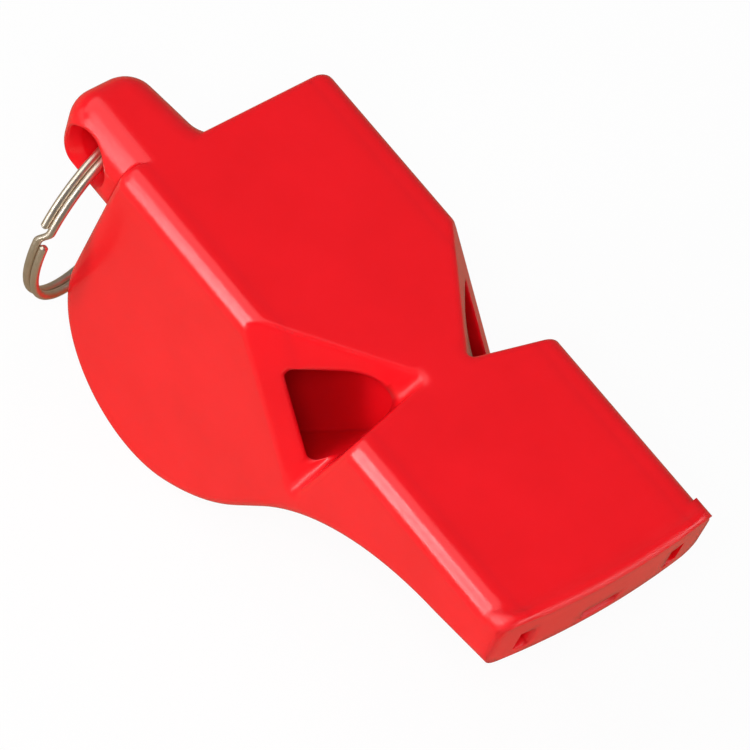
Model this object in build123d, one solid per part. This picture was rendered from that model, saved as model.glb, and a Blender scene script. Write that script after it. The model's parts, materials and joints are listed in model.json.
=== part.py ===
from build123d import *
import os
from math import acos, asin, atan2, cos, degrees, radians, sin, sqrt, tan

# Pealess sports whistle with three chambers: a moulded body, two welded side covers
# and a two-turn split ring in the lug.
# Millimetres. x runs to the mouthpiece tip and is 0 at the roof's front corners,
# y is 0 on the mid-plane (the lug is on the -y side), z is up and 0 on the roof.

# Outer form
body_width = 20.0
roof_length = 14.7          # rear edge of the roof to its front corners
drum_radius = 10.15
drum_back = 6.95            # drum axis behind the roof's front corners
drum_depth = 16.25          # drum axis below the roof
belly_radius = 22.0         # flatter arc from the drum to the throat
throat_drop = 1.05          # how far the throat's slope lies outside the drum's circle
throat_angle = 51.5         # slope of the throat, degrees
throat_radius = 27.0
floor_least = 2.5           # least straight floor between the throat's arc and the tip
floor_angle = 6.2           # rise of the mouthpiece floor towards the tip, degrees
tip_reach = 32.4            # roof's front corners to the middle of the tip
tip_bulge = 0.75            # how far the middle of the tip stands ahead of its ends
tip_lean = 0.6              # how far the tip's lower edge stands behind its upper one
tip_height = 5.6
top_round = 1.6             # rounding of the covers' upper edges
side_round = 0.9            # rounding of the covers' other edges
tip_round = 1.5             # rounding of the mouthpiece's lower edges at the tip
edge_round = 0.6            # rounding of the notches' rims

# Bite lip across the top of the tip: a bead with a hollow behind it
lip_height = 0.45
lip_round = 0.5
lip_hollow = 1.6
lip_end_round = 1.5
lip_proud = 0.1             # how far the bead stands ahead of the tip's front

# V notches between roof and mouthpiece
neck_reach = 11.65          # narrowest place of the top
neck_width = 3.44
neck_shift = 0.7            # the neck sits a little to the +y side
mouth_back = 13.6           # rear top corners of the mouthpiece
notch_reach = 9.8           # lowest point of the notch on the side face
notch_depth = 11.35
valley_round = 0.5

# Chambers
cover_wall = 2.3
drum_wall = 1.8
dish_depth = 0.8            # hollow of the covers over the side chambers
dish_round = 0.75
window_reach = 8.4          # round front end of the side chambers
window_depth = 4.5
window_radius = 3.2
centre_width = 3.4
divider_wall = 1.0
centre_wall = 2.8           # drum wall around the centre chamber
centre_reach = 12.0         # round front end of the centre chamber
centre_depth = 6.3
centre_radius = 1.5

# Windways
side_way_depth = 1.3
side_way_top = 2.2          # roof left above the side windways
side_way_height = 2.4
bottom_way_height = 1.0
bottom_way_floor = 0.9      # floor left under the bottom windway
bottom_window_reach = 16.4  # front edge of the bottom window
bottom_window_length = 4.0
labium_angle = 70.0         # slope of the bottom window's sounding edge, degrees

# Locating pegs of the covers
peg_diameter = 1.3
peg_length = 1.2
peg_clearance = 0.05
peg_seats = ((-10.6, -3.4), (8.2, -12.5))

# Lug
lug_side = 9.4              # outer face of the lug from the mid-plane
lug_width = 7.0
lug_reach = 22.9            # roof's front corners to the lug's rear end
lug_height = 7.4
lug_corner = 2.7            # rounding of the lug's end in the plan view
lug_crown = 2.6             # rounding of the lug's upper rim
lug_foot = 2.6              # rounding of the lug's lower rim
lug_flank = 1.0             # how far the lug widens towards the roof
lug_blend = 1.8             # hollow rounding between lug and roof edge
lug_root = 3.0              # how far the lug is carried into the roof
lug_hole = 4.0
lug_flare = 0.6             # widening of the hole at both mouths
lug_flare_depth = 1.4
lug_hole_reach = 19.0
lug_hole_depth = 3.7

# Split ring
wire = 0.52
coil_pitch = 0.95           # between the two turns
ring_radius = 8.3           # middle of the wire
ring_turn = 14.0            # turn of the hanging ring about the vertical, degrees
crossover_angle = -100.0    # where the wire steps to its second turn, degrees from the hole
end_angle = 28.0            # wire ends stop this far from the crossover, degrees
arcs_per_turn = 4

half_width = body_width / 2
cover_face = half_width - cover_wall
drum = Vector(-drum_back, -drum_depth)
rear_top = Vector(-roof_length, 0)
tip_low = Vector(tip_reach - tip_lean, -tip_height)
tip_radius = (half_width**2 + tip_bulge**2) / (2 * tip_bulge)
tip_axis = Axis((tip_reach - tip_radius, 0, 0), (0, 0, 1))
long_way = 4 * tip_reach    # longer than the whole whistle
tiny = 0.01
lug_eye = Vector(-lug_hole_reach, lug_width / 2 - lug_side, -lug_hole_depth)


def polar(centre, radius, angle):
    """Point on a circle of the side view, angle in degrees from +x."""
    return centre + Vector(radius * cos(radians(angle)), radius * sin(radians(angle)))


def floor_at(x):
    """Height of the mouthpiece floor's straight line at x."""
    return tip_low.Y + (x - tip_low.X) * tan(radians(floor_angle))


def throat_start():
    """Where the throat's straight slope begins, with the belly arc's centre."""
    lower = polar(Vector(0, 0), 1, throat_angle - 90)
    offset = drum_radius + throat_drop
    swing = degrees(acos((belly_radius - offset) / (belly_radius - drum_radius)))
    centre = polar(drum, belly_radius - drum_radius, throat_angle + 90 - swing)
    return centre + lower * belly_radius, centre, throat_angle - 90 - swing


def throat_arc():
    """Start, middle and end of the arc from the throat's slope to the floor."""
    slope_start = throat_start()[0]
    slope, rise = tan(radians(throat_angle)), tan(radians(floor_angle))
    corner_x = (floor_at(0) - slope_start.Y + slope * slope_start.X) / (slope - rise)
    corner = Vector(corner_x, floor_at(corner_x))
    turn = throat_angle - floor_angle
    room = tip_reach - tip_bulge - tip_lean - floor_least - corner_x
    setback = min(throat_radius * tan(radians(turn / 2)), room)
    radius = setback / tan(radians(turn / 2))
    end = polar(corner, setback, floor_angle)
    start = polar(corner, setback, throat_angle + 180)
    centre = polar(end, radius, floor_angle - 90)
    return start, polar(centre, radius, floor_angle + 90 + turn / 2), end


def side_outline():
    """Side view: roof, leaning rear wall, drum, belly, throat and mouthpiece floor."""
    to_drum = drum - rear_top
    lean = degrees(asin(drum_radius / to_drum.length))
    rear_angle = degrees(atan2(to_drum.Y, to_drum.X)) - lean - 90
    rear_tangent = polar(drum, drum_radius, rear_angle)
    slope_start, belly, belly_angle = throat_start()
    drum_end = polar(drum, drum_radius, belly_angle)
    drum_low = polar(drum, drum_radius, (rear_angle + belly_angle) / 2)
    belly_low = polar(belly, belly_radius, (belly_angle + throat_angle - 90) / 2)
    arc_start, arc_middle, arc_end = throat_arc()
    front_low = Vector(tip_reach + tip_bulge, floor_at(tip_reach + tip_bulge))
    front_top = Vector(front_low.X, 0)
    return make_face(
        [
            Line(rear_top, front_top),
            Line(front_top, front_low),
            Line(front_low, arc_end),
            ThreePointArc(arc_end, arc_middle, arc_start),
            Line(arc_start, slope_start),
            ThreePointArc(slope_start, belly_low, drum_end),
            ThreePointArc(drum_end, drum_low, rear_tangent),
            Line(rear_tangent, rear_top),
        ]
    )


def across(face, y_low, y_high):
    """Extrudes a face of the side view from one y to the other."""
    return Pos(0, y_high, 0) * extrude(Plane.XZ * face, amount=y_high - y_low)


def front_room():
    """What lies ahead of the tip's leaning, bulging front: turned about the tip's axis."""
    lean = Vector(tip_lean, tip_height)
    top = Vector(tip_reach, 0) + lean
    low = Vector(tip_reach, 0) - lean * 2
    ahead = tip_reach + tip_height
    section = make_face(Polyline(top, low, (ahead, low.Y), (ahead, top.Y), close=True))
    return revolve(Plane.XZ * section, tip_axis, 360)


def on_sides(part):
    """Edges that lie on the two side faces."""
    return part.edges().filter_by(lambda e: abs(abs(e.center().Y) - half_width) < tiny)


def top_edges(part, level):
    """Long edges of the two sides at one height."""
    return on_sides(part).filter_by(lambda e: abs(e.center().Z - level) < tiny)


def bite_lip():
    """Bead across the top of the tip, with a hollow rise behind it."""
    rise = degrees(acos(1 - lip_height / (lip_hollow + lip_round)))
    crest = Vector(tip_reach + lip_proud - lip_round, lip_height - lip_round)
    start = Vector(crest.X - (lip_hollow + lip_round) * sin(radians(rise)), 0)
    hollow = start + Vector(0, lip_hollow)
    meet, under = polar(hollow, lip_hollow, rise - 90), polar(crest, lip_round, -90)
    sunk_front, sunk_back = Vector(under.X, -top_round), Vector(start.X, -top_round)
    section = make_face(
        [
            ThreePointArc(start, polar(hollow, lip_hollow, rise / 2 - 90), meet),
            ThreePointArc(meet, polar(crest, lip_round, 0), under),
            Line(under, sunk_front),
            Line(sunk_front, sunk_back),
            Line(sunk_back, start),
        ]
    )
    bead = revolve(Plane.XZ * section, tip_axis, 360)
    ends = RectangleRounded(body_width, 2 * lip_height + 2 * lip_end_round, lip_end_round)
    across_tip = extrude(Plane.YZ * (Pos(0, -lip_end_round) * ends), amount=long_way)
    return bead & across_tip


def corner_section(x, side, radius):
    """What a rounded lower edge of the mouthpiece loses at one place along it."""
    corner = Vector(x, side * half_width, floor_at(x))
    outside = corner + Vector(0, side * radius, -radius)
    high, inner = corner + Vector(0, 0, radius), corner - Vector(0, side * radius, 0)
    middle = high - Vector(0, side * radius, 0) + Vector(0, side * radius, -radius) * sqrt(0.5)
    high_out, inner_out = high + Vector(0, side * radius, 0), inner - Vector(0, 0, radius)
    return make_face(
        [
            ThreePointArc(high, middle, inner),
            Line(inner, inner_out),
            Line(inner_out, outside),
            Line(outside, high_out),
            Line(high_out, high),
        ]
    )


def tip_corner(side):
    """Lower edge of the mouthpiece, rounded more and more towards the tip."""
    start = throat_arc()[2].X
    end = tip_reach + tip_bulge
    return loft([corner_section(start, side, side_round), corner_section(end, side, tip_round)])


def notch_ends(side):
    """Upper and lower end of the valley line of one notch (side -1 or +1)."""
    neck = Vector(neck_reach, neck_shift + side * neck_width / 2, 0)
    low = Vector(notch_reach, side * half_width, -notch_depth)
    return neck, low


def notch(side):
    """Wedge cut out between roof and mouthpiece on one side."""
    neck, low = notch_ends(side)
    middle = (neck + low) / 2
    spread = 4
    roof_corner = Vector(0, side * half_width, 0)
    mouth_corner = Vector(mouth_back, side * half_width, 0)
    return ConvexPolyhedron(
        [
            neck + (neck - low) * spread,
            low + (low - neck) * spread,
            middle + (roof_corner - middle) * 2 * spread,
            middle + (mouth_corner - middle) * 2 * spread,
        ]
    )


def cut_notch(form, side):
    """Cuts one notch out, with its valley and its rim rounded."""
    neck, low = notch_ends(side)
    cut = form - notch(side)
    cut = fillet(cut.edges().sort_by_distance((neck + low) / 2)[0], valley_round)
    skin = form.shell()
    rim = new_edges(form, combined=cut)
    return fillet(rim.filter_by(lambda e: skin.distance_to(Vertex(e @ 0.5)) < tiny), edge_round)


def outer_form():
    """Whole outside of the plastic, without the lug."""
    form = across(side_outline(), -half_width, half_width)
    form = fillet(top_edges(form, 0), top_round)
    sides = on_sides(form)
    form = fillet(sides - top_edges(form, -top_round), side_round)
    form = form - front_room() + bite_lip()
    for side in (-1, 1):
        form = cut_notch(form - tip_corner(side), side)
    return form


def chamber_outline(wall, front, front_radius):
    """Side view of a chamber: the drum's inside drawn out to a round front end."""
    rear_circle = Pos(drum.X, drum.Y) * Circle(drum_radius - wall)
    front_circle = Pos(*front) * Circle(front_radius)
    return make_hull(rear_circle.edges() + front_circle.edges())


def lug():
    """Ring lug behind the roof on the -y side: a round-ended tongue, without its hole."""
    root, edge = -roof_length + lug_root, -roof_length + tiny
    near, far = -lug_side, lug_width - lug_side
    flank = Vector(edge, far + lug_flank)
    inner = flank.Y + 2 * lug_blend
    rear = [(root, near), (-lug_reach, near), (-lug_reach, far), flank, (edge, inner), (root, inner)]
    plan = make_face(Polyline(*rear, close=True))
    plan = fillet(plan.vertices().group_by(Axis.X)[0], lug_corner)
    plan = fillet(plan.vertices().sort_by_distance(flank)[0], lug_blend)
    arm = Pos(0, 0, -lug_height) * extrude(plan, amount=lug_height)
    for height, radius in ((0, lug_crown), (-lug_height, lug_foot)):
        rim = arm.edges().filter_by(lambda e: abs(e.center().Z - height) < tiny)
        arm = fillet(rim.filter_by(lambda e: e.center().X < edge), radius)
    return arm


def hole_in_lug():
    """Cross hole of the lug, flared at both mouths so that the ring can turn in it."""
    flared = lug_hole / 2 + lug_flare
    mouth = Cone(lug_hole / 2, flared, lug_flare_depth)
    way_out = Pos(0, 0, (lug_flare_depth + lug_corner) / 2) * Cylinder(flared, lug_corner)
    end = Pos(0, 0, (lug_width - lug_flare_depth) / 2) * (mouth + way_out)
    bore = Cylinder(lug_hole / 2, lug_width) + end + Rot(180, 0, 0) * end
    return Pos(*lug_eye) * Rot(90, 0, 0) * bore


def way_box(x_low, x_high, y_low, y_high, z_low, z_high):
    """Box between two corners."""
    size = (x_high - x_low, y_high - y_low, z_high - z_low)
    return Pos((x_low + x_high) / 2, (y_low + y_high) / 2, (z_low + z_high) / 2) * Box(*size)


def bottom_way():
    """Side view of the bottom windway and of the window it blows across."""
    top = bottom_way_floor + bottom_way_height
    back, ahead = bottom_window_reach, tip_reach + bottom_way_height
    way = Polyline(
        (back, floor_at(back) + bottom_way_floor),
        (ahead, floor_at(ahead) + bottom_way_floor),
        (ahead, floor_at(ahead) + top),
        (back, floor_at(back) + top),
        close=True,
    )
    edge = back - bottom_window_length
    drop = drum_depth - centre_depth
    window = Polyline(
        (back, floor_at(back) + top),
        (edge, floor_at(back) + top),
        (edge, -centre_depth - centre_radius),
        (edge - drop / tan(radians(labium_angle)), -centre_depth - centre_radius - drop),
        (back, -centre_depth - centre_radius - drop),
        close=True,
    )
    return make_face(way) + make_face(window)


def side_chamber():
    """Side view of the two side chambers."""
    return chamber_outline(drum_wall, (window_reach, -window_depth), window_radius)


def body(form):
    """Main moulding between the two covers, with lug, chambers and windways."""
    core = form & Box(long_way, 2 * cover_face, long_way)
    core = core + (lug() - form)
    core = core - hole_in_lug()
    centre_chamber = chamber_outline(centre_wall, (centre_reach, -centre_depth), centre_radius)
    core = core - across(centre_chamber, -centre_width / 2, centre_width / 2)
    core = core - across(bottom_way(), -centre_width / 2, centre_width / 2)
    inner = centre_width / 2 + divider_wall
    groove = cover_face - side_way_depth
    low = -side_way_top - side_way_height
    for side in (-1, 1):
        y_low, y_high = sorted((side * inner, side * cover_face))
        core = core - across(side_chamber(), y_low, y_high)
        y_low, y_high = sorted((side * groove, side * cover_face))
        core = core - way_box(neck_reach - side_way_depth, long_way, y_low, y_high, low, -side_way_top)
        for x, z in peg_seats:
            core = core - peg(x, z, side, peg_clearance)
    return core


def peg(x, z, side, clearance):
    """Locating peg of a cover, or its seat in the body."""
    length = peg_length + clearance
    middle = side * (cover_face - length / 2)
    return Pos(x, middle, z) * Rot(90, 0, 0) * Cylinder(peg_diameter / 2 + clearance, length)


def dish(side):
    """Shallow hollow in a cover over its chamber."""
    floor = side * (cover_face + dish_depth)
    hollow = across(side_chamber(), *sorted((side * cover_face, floor)))
    return fillet(hollow.edges().filter_by(lambda e: abs(e.center().Y - floor) < tiny), dish_round)


def cover(form, side):
    """Flat side cover: closes the chamber and the windway of one side."""
    y_low, y_high = sorted((side * cover_face, side * half_width))
    plate = form & way_box(-long_way, long_way, y_low, y_high, -long_way, long_way)
    plate = plate - dish(side)
    for x, z in peg_seats:
        plate = plate + peg(x, z, side, 0)
    return plate


def ring_point(angle, offset):
    """Point of the ring's wire line, angle from the hole towards +y, before the ring's turn."""
    radius = sqrt(ring_radius**2 + (coil_pitch / 2) ** 2 - offset**2)
    return Vector(offset, radius * sin(radians(angle)), radius * cos(radians(angle)) - ring_radius)


def ring_tangent(angle):
    """Direction of a turn at one angle."""
    return Vector(0, cos(radians(angle)), -sin(radians(angle)))


def ring_turn_arcs(first, offset):
    """One turn of the wire as equal arcs, open by the ends' two gaps."""
    span = (360 - 2 * end_angle) / arcs_per_turn
    arcs = []
    for k in range(arcs_per_turn):
        start, middle, end = [ring_point(first + (k + part) * span, offset) for part in (0, 0.5, 1)]
        arcs.append(ThreePointArc(start, middle, end))
    return arcs


def ring_path():
    """Wire line of the ring: one turn, a step sideways, and the second turn."""
    first, last = crossover_angle + end_angle, crossover_angle - end_angle
    side = coil_pitch / 2
    middle = ring_point(crossover_angle, 0)
    step_out = TangentArc(ring_point(last, -side), middle, tangent=ring_tangent(last))
    step_in = TangentArc(middle, ring_point(first, side), tangent=step_out % 1)
    return [*ring_turn_arcs(first, -side), step_out, step_in, *ring_turn_arcs(first, side)]


def least_gap(edges):
    """Least gap of the wire to itself, on points along it."""
    samples = 24
    points, run = [], 0
    for edge in edges:
        points += [(run + edge.length * k / samples, edge @ (k / samples)) for k in range(samples)]
        run += edge.length
    apart = 4 * wire
    return min((p - q).length for a, p in points for b, q in points if b - a > apart) - wire


def split_ring():
    """Two-turn ring of round wire, hanging from the lug's hole."""
    edges = ring_path()
    print(f"split_ring least gap to itself {least_gap(edges):.3f} mm")
    section = Plane(origin=edges[0] @ 0, z_dir=edges[0] % 0) * Circle(wire / 2)
    return Pos(*lug_eye) * Rot(0, 0, ring_turn) * sweep(section, path=Curve() + edges)


os.makedirs("parts", exist_ok=True)
form = outer_form()
nodes = {
    "body": body(form),
    "left_cover": cover(form, -1),
    "right_cover": cover(form, 1),
    "split_ring": split_ring(),
}
for name, solid in nodes.items():
    export_step(solid, f"parts/{name}.step")
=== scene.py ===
import json
import math
import bpy
from mathutils import Matrix, Quaternion, Vector


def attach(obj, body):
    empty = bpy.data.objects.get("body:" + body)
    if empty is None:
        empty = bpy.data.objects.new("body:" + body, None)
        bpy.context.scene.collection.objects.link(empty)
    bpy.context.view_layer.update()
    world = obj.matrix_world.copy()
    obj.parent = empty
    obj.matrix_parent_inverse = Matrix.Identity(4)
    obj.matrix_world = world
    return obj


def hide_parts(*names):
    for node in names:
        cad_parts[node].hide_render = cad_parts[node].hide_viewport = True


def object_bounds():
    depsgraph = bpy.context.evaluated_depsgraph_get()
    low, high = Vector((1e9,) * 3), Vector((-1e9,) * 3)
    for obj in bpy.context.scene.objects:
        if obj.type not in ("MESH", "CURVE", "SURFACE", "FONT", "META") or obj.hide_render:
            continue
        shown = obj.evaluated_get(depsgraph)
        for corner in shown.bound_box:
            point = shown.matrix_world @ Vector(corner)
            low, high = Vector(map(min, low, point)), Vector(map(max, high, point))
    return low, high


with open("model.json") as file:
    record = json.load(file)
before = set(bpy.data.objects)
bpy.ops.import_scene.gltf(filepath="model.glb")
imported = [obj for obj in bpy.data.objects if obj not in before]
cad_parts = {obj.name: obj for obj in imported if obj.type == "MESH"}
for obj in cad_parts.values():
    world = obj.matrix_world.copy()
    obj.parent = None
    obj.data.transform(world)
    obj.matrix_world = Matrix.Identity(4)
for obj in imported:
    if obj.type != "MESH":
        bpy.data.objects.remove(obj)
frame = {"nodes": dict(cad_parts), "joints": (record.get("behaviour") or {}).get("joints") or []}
cad_low, cad_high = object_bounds()

MM = 0.001

# Camera at the photograph's angle: angles in degrees, sensor and lens in millimetres
camera_azimuth = 37.238
camera_elevation = 53.359
camera_roll = 18.547
camera_distance = 499.95 * MM
camera_aim = Vector((7.440, -1.818, -4.425)) * MM
camera_sensor = 36.0
camera_lens = 327.59
camera_near = 0.1 * camera_distance
camera_far = 100 * camera_distance

# Split ring, hanging from the lug's hole
wire = 0.68 * MM
wire_pitch = 0.70 * MM          # the two turns lie almost against each other
ring_radius = 8.3 * MM          # middle of the wire
ring_turn = 14.0                # turn about the vertical, degrees
crossover_angle = -68.0         # where the wire steps over, degrees from the hole
crossover_span = 9.0            # length of the step, degrees
end_gap = 5.6                   # from the crossover's middle to the wire's ends, degrees
turn_span = 360 - end_gap       # from a wire end round to the crossover's middle, degrees
ring_steps = 240                # sections in one turn
wire_sides = 20
wire_end_bevel = 0.16 * MM
wire_smooth_angle = 40.0        # edges sharper than this stay sharp, degrees

# Rounding of the plastic's sharp edges in its shading, stronger at the mouthpiece's tip
edge_round = 0.45 * MM
edge_samples = 8
tip_edge_round = 1.3 * MM
tip_start = 28.6 * MM
tip_end = 30.6 * MM
weld_place = 7.7 * MM           # welds of the covers from the mid-plane
valley_round = 1.1 * MM         # rounding in the valleys of the side notches
valley_reach = 1.2 * MM
valley_place = 11.86 * MM       # valley at the mid-plane, and its lean to the rear
valley_lean = 0.206

# Patterns of the skin: detail and roughness of each noise, and the range a noise mostly fills
flow_noise = (3, 0.5)
sheen_noise = (4, 0.6)
peel_noise = (1, 0.4)
noise_range = (0.3, 0.7)

# Red plastic: scales of its patterns, range of roughness, two tones, peel and inner scatter
plastic_skin = {"Flow Scale": 140.0, "Peel Scale": 1800.0, "Gloss Low": 0.16, "Gloss High": 0.24}
plastic_tones = ((0.84, 0.0052, 0.0110), (0.90, 0.0060, 0.0130))
plastic_peel_depth = 0.02 * MM
plastic_peel_strength = 0.15
plastic_ior = 1.55
scatter_share = 0.2
scatter_by_colour = (1.0, 0.12, 0.10)
scatter_reach = 1.2 * MM

# Plated wire: scales of its patterns, range of roughness, two tones and peel
plating_skin = {"Flow Scale": 420.0, "Peel Scale": 5200.0, "Gloss Low": 0.28, "Gloss High": 0.46}
plating_tones = ((0.78, 0.68, 0.55), (0.90, 0.81, 0.69))
plating_peel_depth = 0.01 * MM
plating_peel_strength = 0.3

# Lamps: direction from the whistle, way that the height runs, width and height in metres,
# level on a square face, and whether gloss shows the lamp
lamp_distance = 500 * MM
lamps = {
    "key_strip": ((-0.36, -0.847, 0.388), (0, 0.416, 0.909), 0.08, 0.60, 0.44, True),
    "low_strip": ((-0.45, -0.88, 0.14), (0, 0, 1), 0.80, 0.16, 0.12, True),
    "top_box": ((-0.55, -0.25, 0.80), (0, 1, 0), 0.60, 0.50, 0.42, True),
    "front_fill": ((0.36, -0.475, 0.80), (0, 0, 1), 0.12, 0.12, 0.50, False),
    "rim_strip": ((0.85, 0.45, 0.28), (0, 0, 1), 0.50, 0.24, 0.34, True),
}
world_level = 0.14

# Floor
floor_size = 6.0
floor_white = 0.86
floor_roughness = 0.9
floor_glow = 0.94               # share of plain white that the camera sees on the floor
floor_gloss = (0.17, 0.11, 0.02)    # warm grey of the floor in gloss
floor_veil = 0.8                # share of that grey, over the lit floor


def feed(tree, socket, value):
    """Sets a socket to a number, or links it to another socket."""
    if isinstance(value, (int, float)):
        socket.default_value = value
    else:
        tree.links.new(value, socket)


def noise(tree, vector, scale, detail, roughness):
    """Noise texture at a place and a scale that both come from sockets."""
    node = tree.nodes.new("ShaderNodeTexNoise")
    node.inputs["Detail"].default_value = detail
    node.inputs["Roughness"].default_value = roughness
    tree.links.new(vector, node.inputs["Vector"])
    tree.links.new(scale, node.inputs["Scale"])
    return node.outputs["Fac"]


def map_range(tree, value, source, target):
    """Takes a value from one range to another."""
    node = tree.nodes.new("ShaderNodeMapRange")
    tree.links.new(value, node.inputs["Value"])
    for label, end in zip(("From Min", "From Max", "To Min", "To Max"), (*source, *target)):
        feed(tree, node.inputs[label], end)
    return node.outputs["Result"]


def maths(tree, operation, *values):
    """Math node with sockets or numbers in its inputs."""
    node = tree.nodes.new("ShaderNodeMath")
    node.operation = operation
    for socket, value in zip(node.inputs, values):
        feed(tree, socket, value)
    return node.outputs[0]


def two_tone(tree, factor, first, second):
    """Colour between two tones, by a factor."""
    node = tree.nodes.new("ShaderNodeMix")
    node.data_type = "RGBA"
    tree.links.new(factor, node.inputs["Factor"])
    node.inputs["A"].default_value = (*first, 1)
    node.inputs["B"].default_value = (*second, 1)
    return node.outputs["Result"]


def bump(tree, height, depth, strength, normal=None):
    """Bump node for a shader's normal, over another normal if one is given."""
    node = tree.nodes.new("ShaderNodeBump")
    node.inputs["Distance"].default_value = depth
    node.inputs["Strength"].default_value = strength
    tree.links.new(height, node.inputs["Height"])
    if normal:
        tree.links.new(normal, node.inputs["Normal"])
    return node.outputs["Normal"]


def object_place(tree):
    """Object coordinates of the shaded point."""
    return tree.nodes.new("ShaderNodeTexCoord").outputs["Object"]


def moulded_skin():
    """Skin shared by the finishes: soft flow clouds, a faint sheen pattern and fine peel."""
    group = bpy.data.node_groups.new("moulded_skin", "ShaderNodeTree")
    group.interface.new_socket("Vector", in_out="INPUT", socket_type="NodeSocketVector")
    for label in ("Flow Scale", "Peel Scale", "Gloss Low", "Gloss High"):
        group.interface.new_socket(label, in_out="INPUT", socket_type="NodeSocketFloat")
    for label in ("Flow", "Roughness", "Peel"):
        group.interface.new_socket(label, in_out="OUTPUT", socket_type="NodeSocketFloat")
    given = group.nodes.new("NodeGroupInput").outputs
    result = group.nodes.new("NodeGroupOutput").inputs
    flow = noise(group, given["Vector"], given["Flow Scale"], *flow_noise)
    sheen = noise(group, given["Vector"], given["Peel Scale"], *sheen_noise)
    peel = noise(group, given["Vector"], given["Peel Scale"], *peel_noise)
    gloss = map_range(group, sheen, noise_range, (given["Gloss Low"], given["Gloss High"]))
    group.links.new(flow, result["Flow"])
    group.links.new(gloss, result["Roughness"])
    group.links.new(peel, result["Peel"])
    return group


def new_material(name):
    """Material with its node tree and its Principled shader."""
    material = bpy.data.materials.new(name)
    material.use_nodes = True
    return material, material.node_tree, material.node_tree.nodes["Principled BSDF"]


def skinned_material(name, skin, skin_values, tones):
    """Material whose colour and roughness follow the skin; its peel is returned for a bump."""
    material, tree, shader = new_material(name)
    surface = tree.nodes.new("ShaderNodeGroup")
    surface.node_tree = skin
    for label, value in skin_values.items():
        surface.inputs[label].default_value = value
    tree.links.new(object_place(tree), surface.inputs["Vector"])
    flow = map_range(tree, surface.outputs["Flow"], noise_range, (0.0, 1.0))
    tree.links.new(two_tone(tree, flow, *tones), shader.inputs["Base Color"])
    tree.links.new(surface.outputs["Roughness"], shader.inputs["Roughness"])
    return material, tree, shader, surface.outputs["Peel"]


def soft_edges(tree):
    """Normal that is rounded at sharp edges; the rounding tapers off at the covers' welds."""
    split = tree.nodes.new("ShaderNodeSeparateXYZ")
    tree.links.new(object_place(tree), split.inputs[0])
    along = split.outputs["X"]
    aside = maths(tree, "ABSOLUTE", split.outputs["Y"])
    off_weld = maths(tree, "ABSOLUTE", maths(tree, "SUBTRACT", aside, weld_place))
    unleaned = maths(tree, "ADD", along, maths(tree, "MULTIPLY", aside, valley_lean))
    off_valley = maths(tree, "ABSOLUTE", maths(tree, "SUBTRACT", unleaned, valley_place))
    in_valley = maths(tree, "LESS_THAN", off_valley, valley_reach)
    valley = maths(tree, "MULTIPLY", in_valley, valley_round)
    tip = map_range(tree, along, (tip_start, tip_end), (edge_round, tip_edge_round))
    widest = maths(tree, "MAXIMUM", tip, valley)
    node = tree.nodes.new("ShaderNodeBevel")
    node.samples = edge_samples
    tree.links.new(maths(tree, "MINIMUM", widest, off_weld), node.inputs["Radius"])
    return node.outputs["Normal"]


def red_plastic(skin):
    """Glossy red styrene of the mouldings."""
    material, tree, shader, peel = skinned_material(
        "red_plastic", skin, plastic_skin, plastic_tones
    )
    normal = bump(tree, peel, plastic_peel_depth, plastic_peel_strength, soft_edges(tree))
    tree.links.new(normal, shader.inputs["Normal"])
    shader.inputs["IOR"].default_value = plastic_ior
    shader.inputs["Subsurface Weight"].default_value = scatter_share
    shader.inputs["Subsurface Radius"].default_value = scatter_by_colour
    shader.inputs["Subsurface Scale"].default_value = scatter_reach
    return material


def plated_wire(skin):
    """Drawn steel wire with dull nickel plating, warm in the shade."""
    material, tree, shader, peel = skinned_material(
        "plated_wire", skin, plating_skin, plating_tones
    )
    normal = bump(tree, peel, plating_peel_depth, plating_peel_strength)
    tree.links.new(normal, shader.inputs["Normal"])
    shader.inputs["Metallic"].default_value = 1.0
    return material


def dress(piece, material):
    """Gives a piece one material."""
    piece.data.materials.clear()
    piece.data.materials.append(material)


def ring_offset(angle):
    """Sideways place of the wire at an angle from its first end; it eases over the crossover."""
    part = (angle - turn_span) / crossover_span + 0.5
    part = min(max(part, 0.0), 1.0)
    return wire_pitch * (part * part * (3 - 2 * part) - 0.5)


def face_outwards():
    """Turns the faces of the mesh in edit mode outwards."""
    bpy.ops.mesh.select_all(action="SELECT")
    bpy.ops.mesh.normals_make_consistent(inside=False)


def coil_wire():
    """Two turns of round wire, extruded section by section round the ring's axis."""
    bpy.ops.object.select_all(action="DESELECT")
    bpy.ops.mesh.primitive_circle_add(
        vertices=wire_sides,
        radius=wire / 2,
        fill_type="NGON",
        location=(ring_radius, 0, ring_offset(0)),
        rotation=(math.pi / 2, 0, 0),
    )
    ring = bpy.context.object
    ring.name = "wire_ring"
    bpy.ops.object.transform_apply(location=True, rotation=True, scale=True)
    bpy.ops.object.mode_set(mode="EDIT")
    bpy.ops.mesh.select_all(action="SELECT")
    whole = 2 * turn_span
    count = round(ring_steps * whole / 360)
    step = whole / count
    for k in range(count):
        climb = ring_offset((k + 1) * step) - ring_offset(k * step)
        bpy.ops.mesh.extrude_region_move(TRANSFORM_OT_translate={"value": (0, 0, climb)})
        bpy.ops.transform.rotate(
            value=-math.radians(step), orient_axis="Z", center_override=(0, 0, 0)
        )
    face_outwards()
    bpy.ops.mesh.select_all(action="DESELECT")
    bpy.ops.mesh.select_face_by_sides(number=wire_sides, type="EQUAL")
    bpy.ops.mesh.inset(thickness=wire_end_bevel, depth=wire_end_bevel, use_individual=True)
    bpy.ops.object.mode_set(mode="OBJECT")
    return ring


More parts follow.
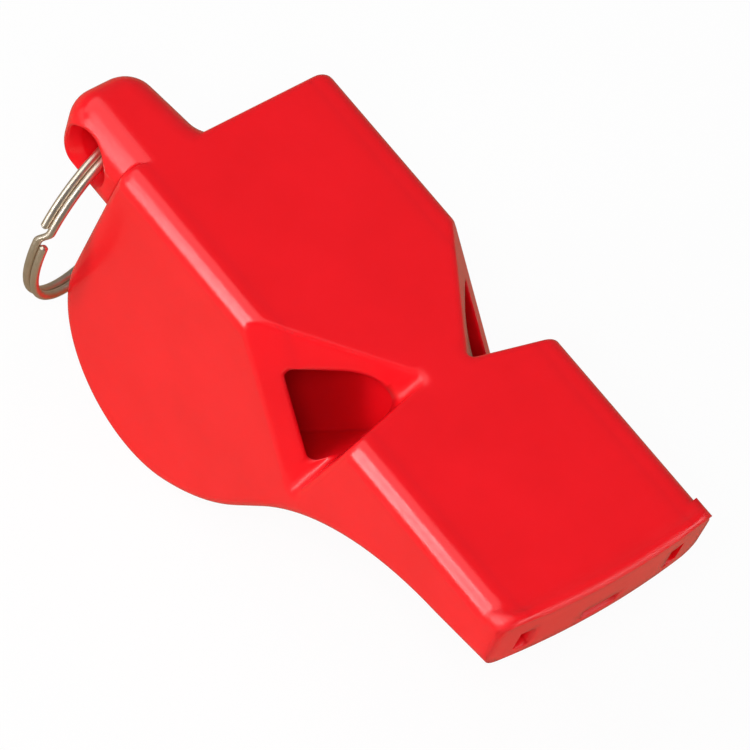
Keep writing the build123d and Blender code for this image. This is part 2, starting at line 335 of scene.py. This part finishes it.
def hang_ring(ring):
    """Stands the coil upright in the lug's hole; this mirrors it, so its faces are turned back."""
    eye = Vector(frame["joints"][0]["pos_m"])
    upright = Matrix(((0, 0, 1, 0), (0, 1, 0, 0), (1, 0, 0, -ring_radius), (0, 0, 0, 1)))
    roll = Matrix.Rotation(math.radians(crossover_angle + end_gap), 4, "Z")
    turn = Matrix.Rotation(math.radians(ring_turn), 4, "Z")
    ring.matrix_world = Matrix.Translation(eye) @ turn @ upright @ roll
    bpy.ops.object.select_all(action="DESELECT")
    ring.select_set(True)
    bpy.context.view_layer.objects.active = ring
    bpy.ops.object.transform_apply(location=True, rotation=True, scale=True)
    bpy.ops.object.mode_set(mode="EDIT")
    face_outwards()
    bpy.ops.object.mode_set(mode="OBJECT")
    bpy.ops.object.shade_smooth_by_angle(angle=math.radians(wire_smooth_angle))


def white_floor():
    """Pale table top: plain white with the whistle's shadow to the camera, dim in gloss."""
    bpy.ops.object.select_all(action="DESELECT")
    bpy.ops.mesh.primitive_plane_add(size=floor_size, location=(0, 0, cad_low.z))
    floor = bpy.context.object
    floor.name = "floor"
    material, tree, shader = new_material("floor_white")
    shader.inputs["Base Color"].default_value = (floor_white, floor_white, floor_white, 1)
    shader.inputs["Roughness"].default_value = floor_roughness
    shader.inputs["Specular IOR Level"].default_value = 0.0
    path = tree.nodes.new("ShaderNodeLightPath").outputs
    seen = maths(tree, "MULTIPLY", path["Is Camera Ray"], floor_glow)
    mirrored = maths(tree, "MAXIMUM", path["Is Glossy Ray"], path["Is Transmission Ray"])
    veiled = maths(tree, "MULTIPLY", mirrored, floor_veil)
    glow = tree.nodes.new("ShaderNodeEmission")
    tree.links.new(two_tone(tree, mirrored, (1, 1, 1), floor_gloss), glow.inputs["Color"])
    mix = tree.nodes.new("ShaderNodeMixShader")
    tree.links.new(maths(tree, "MAXIMUM", seen, veiled), mix.inputs["Fac"])
    tree.links.new(shader.outputs["BSDF"], mix.inputs[1])
    tree.links.new(glow.outputs["Emission"], mix.inputs[2])
    tree.links.new(mix.outputs["Shader"], tree.nodes["Material Output"].inputs["Surface"])
    dress(floor, material)


def soft_box(name, direction, rise, width, height, level, in_gloss):
    """Rectangular lamp that looks at the whistle; level 1 lights a white card to white."""
    data = bpy.data.lights.new(name, "AREA")
    data.shape = "RECTANGLE"
    data.size = width
    data.size_y = height
    data.energy = level * (math.pi * lamp_distance) ** 2
    lamp = bpy.data.objects.new(name, data)
    bpy.context.scene.collection.objects.link(lamp)
    lamp.visible_glossy = in_gloss
    towards = Vector(direction).normalized()
    side = Vector(rise).cross(towards).normalized()
    turned = Matrix((side, towards.cross(side), towards)).transposed()
    lamp.matrix_world = Matrix.Translation(camera_aim + towards * lamp_distance) @ turned.to_4x4()


def room_light():
    """Even light from all round."""
    world = bpy.data.worlds.new("room")
    world.use_nodes = True
    background = world.node_tree.nodes["Background"]
    background.inputs["Color"].default_value = (1, 1, 1, 1)
    background.inputs["Strength"].default_value = world_level
    bpy.context.scene.world = world


def photo_camera():
    """Camera where the photograph was taken from."""
    azimuth = math.radians(camera_azimuth)
    elevation = math.radians(camera_elevation)
    back = Vector(
        (
            math.sin(azimuth) * math.cos(elevation),
            -math.cos(azimuth) * math.cos(elevation),
            math.sin(elevation),
        )
    )
    data = bpy.data.cameras.new("photo_camera")
    data.sensor_width = camera_sensor
    data.lens = camera_lens
    data.clip_start = camera_near
    data.clip_end = camera_far
    camera = bpy.data.objects.new("photo_camera", data)
    bpy.context.scene.collection.objects.link(camera)
    camera.location = camera_aim + back * camera_distance
    camera.rotation_mode = "QUATERNION"
    level = (-back).to_track_quat("-Z", "Y")
    camera.rotation_quaternion = level @ Quaternion((0, 0, 1), math.radians(camera_roll))
    bpy.context.scene.camera = camera


skin = moulded_skin()
plastic = red_plastic(skin)
plating = plated_wire(skin)
for node in ("body", "left_cover", "right_cover"):
    dress(frame["nodes"][node], plastic)

ring = coil_wire()
hang_ring(ring)
dress(ring, plating)
dress(frame["nodes"]["split_ring"], plating)
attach(ring, "ring")
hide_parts("split_ring")

white_floor()
room_light()
for name, lamp in lamps.items():
    soft_box(name, *lamp)
photo_camera()
bpy.context.scene.view_settings.view_transform = "Standard"
